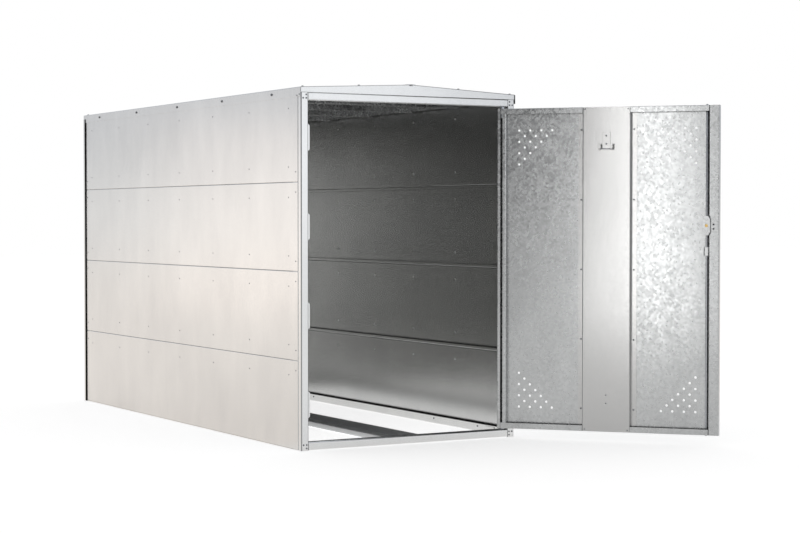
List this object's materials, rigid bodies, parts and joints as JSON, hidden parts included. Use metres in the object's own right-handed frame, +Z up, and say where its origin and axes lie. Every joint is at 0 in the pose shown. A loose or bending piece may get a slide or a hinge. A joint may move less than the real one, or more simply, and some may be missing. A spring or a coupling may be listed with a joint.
{
  "type": "bicycle locker",
  "caption": "Bicycle locker of folded galvanised sheet with a low gabled roof, a wheel channel on an open floor and a side-hung vented door with a turning rod lock.",
  "frame": {"origin": "on the ground, at the middle of the cabinet's footprint and of its four anchor holes", "axes": "+Z up, +Y from the doorway to the back wall, +X to the right seen from the front, towards the hinge side"},
  "size_m": [1.3328, 2.6189, 1.242],
  "materials": {
    "galvanised_sheet": "hot-dip galvanised steel sheet with a fine spangle, satin",
    "zinc_plated_steel": "bright zinc-plated steel",
    "drawn_rod": "drawn round steel bar, zinc-plated",
    "handle_black": "black powder coat on die-cast zinc, satin",
    "lock_brass": "turned brass"
  },
  "bodies": {
    "cabinet": {"front_post_left": "galvanised_sheet", "front_post_right": "galvanised_sheet", "front_sill": "galvanised_sheet", "front_header": "galvanised_sheet", "door_stops": "galvanised_sheet", "corner_rivets": "zinc_plated_steel", "rear_post_left": "galvanised_sheet", "rear_post_right": "galvanised_sheet", "base_rail_left": "galvanised_sheet", "base_rail_right": "galvanised_sheet", "base_rail_rear": "galvanised_sheet", "wheel_channel": "galvanised_sheet", "anchor_brackets": "galvanised_sheet", "roof_sheet_left": "galvanised_sheet", "roof_sheet_right": "galvanised_sheet", "ridge_cap": "galvanised_sheet", "gable_front": "galvanised_sheet", "gable_rear": "galvanised_sheet", "eave_rail_left": "galvanised_sheet", "eave_rail_right": "galvanised_sheet", "roof_screws": "zinc_plated_steel", "pivot_collars": "zinc_plated_steel", "side_panel_left_1": "galvanised_sheet", "side_panel_left_2": "galvanised_sheet", "side_panel_left_3": "galvanised_sheet", "side_panel_left_4": "galvanised_sheet", "side_panel_right_1": "galvanised_sheet", "side_panel_right_2": "galvanised_sheet", "side_panel_right_3": "galvanised_sheet", "side_panel_right_4": "galvanised_sheet", "rear_panel_1": "galvanised_sheet", "rear_panel_2": "galvanised_sheet", "rear_panel_3": "galvanised_sheet", "rear_panel_4": "galvanised_sheet", "roof_bow_1": "galvanised_sheet", "roof_bow_2": "galvanised_sheet", "roof_bow_3": "galvanised_sheet", "roof_bow_4": "galvanised_sheet", "roof_bow_5": "galvanised_sheet"},
    "door": {"door_leaf": "galvanised_sheet", "hinge_stile": "galvanised_sheet", "leaf_stiffener": "galvanised_sheet", "leaf_rivets": "zinc_plated_steel", "coat_hook": "zinc_plated_steel", "top_pivot_block": "zinc_plated_steel", "bottom_pivot_block": "zinc_plated_steel", "pivot_pins": "zinc_plated_steel", "pivot_washers": "zinc_plated_steel", "rod_guide": "zinc_plated_steel", "lock_cover": "zinc_plated_steel", "escutcheon": "handle_black"},
    "handle": {"lock_handle": "handle_black", "lock_cam": "zinc_plated_steel", "lock_spindle": "zinc_plated_steel", "lock_cylinder": "lock_brass"},
    "upper_rod": {"upper_rod": "drawn_rod"},
    "lower_rod": {"lower_rod": "drawn_rod"},
    "key_plug": {"lock_plug": "lock_brass"}
  },
  "joints": [
    {"name": "door_hinge", "type": "hinge", "parent": "cabinet", "child": "door", "pos_m": [0.3805, -1.011, 0.6], "axis": [0, 0, 1], "range_deg": [-132, 0]},
    {"name": "handle_turn", "type": "hinge", "parent": "door", "child": "handle", "pos_m": [0.87209, -1.548, 0.755], "axis": [-0.7431, -0.6691, 0], "range_deg": [0, 90]},
    {"name": "upper_rod_slide", "type": "slide", "parent": "door", "child": "upper_rod", "axis": [0, 0, 1], "range_m": [0, 0.018]},
    {"name": "lower_rod_slide", "type": "slide", "parent": "door", "child": "lower_rod", "axis": [0, 0, -1], "range_m": [0, 0.018]},
    {"name": "key_turn", "type": "hinge", "parent": "handle", "child": "key_plug", "pos_m": [0.87209, -1.548, 0.755], "axis": [-0.7431, -0.6691, 0], "range_deg": [0, 90]}
  ],
  "couplings": [
    {"joint": "upper_rod_slide", "follows": "handle_turn", "m_per_rad": 0.011434},
    {"joint": "lower_rod_slide", "follows": "handle_turn", "m_per_rad": 0.011434}
  ]
}
